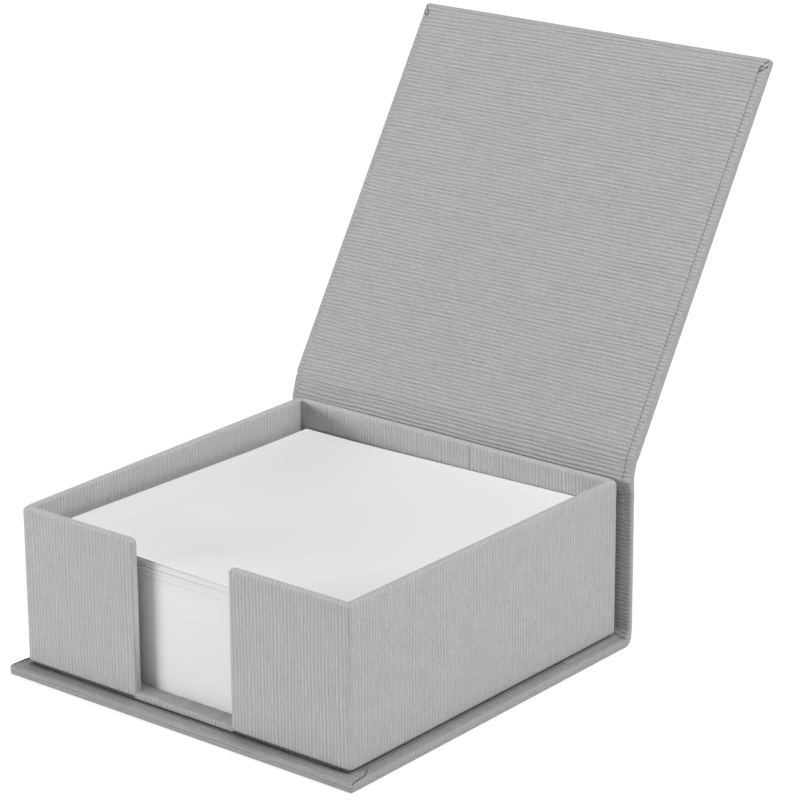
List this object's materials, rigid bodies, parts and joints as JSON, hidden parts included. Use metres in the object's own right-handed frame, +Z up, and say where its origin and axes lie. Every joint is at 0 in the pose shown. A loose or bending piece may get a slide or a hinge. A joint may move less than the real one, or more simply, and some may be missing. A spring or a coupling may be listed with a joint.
{
  "type": "memo box",
  "caption": "Square desk memo box: a paper-covered board tray with a finger notch in front, loose note sheets inside, and a book-style lid that folds back on a paper hinge.",
  "frame": {"origin": "centre of the case's underside, on the surface that the box stands on", "axes": "+X to the right along the paper hinge, -Y out of the front wall with the finger notch, +Z up"},
  "size_m": [0.1028, 0.1565, 0.1308],
  "materials": {
    "ribbed_paper": "matte",
    "greyboard": "matte",
    "stay_tape": "matte",
    "sheet_paper": "matte"
  },
  "bodies": {
    "case": {"base_board": "greyboard", "base_cover_paper": "ribbed_paper", "spine_board": "greyboard", "spine_cover_paper": "ribbed_paper", "spine_liner_paper": "ribbed_paper", "hinge_cover_strip": "ribbed_paper", "hinge_liner_strip": "ribbed_paper", "tray_floor_board": "greyboard", "tray_left_wall_board": "greyboard", "tray_right_wall_board": "greyboard", "tray_back_wall_board": "greyboard", "tray_front_left_wall_board": "greyboard", "tray_front_right_wall_board": "greyboard", "tray_corner_stays": "stay_tape", "tray_wrap_paper": "ribbed_paper", "tray_floor_liner": "ribbed_paper"},
    "lid": {"lid_board": "greyboard", "lid_cover_paper": "ribbed_paper", "lid_liner_paper": "ribbed_paper"},
    "sheets": {"memo_stack": "sheet_paper", "loose_sheets": "sheet_paper"}
  },
  "joints": [
    {"name": "lid_hinge", "type": "hinge", "parent": "case", "child": "lid", "pos_m": [0, 0.05067, 0.04361], "axis": [-1, 0, 0], "range_deg": [-122, 82], "deforming": ["hinge_cover_strip", "hinge_liner_strip"]},
    {"name": "sheets_lift", "type": "slide", "parent": "case", "child": "sheets", "axis": [0, 0, 1], "range_m": [0, 0.0065]}
  ]
}
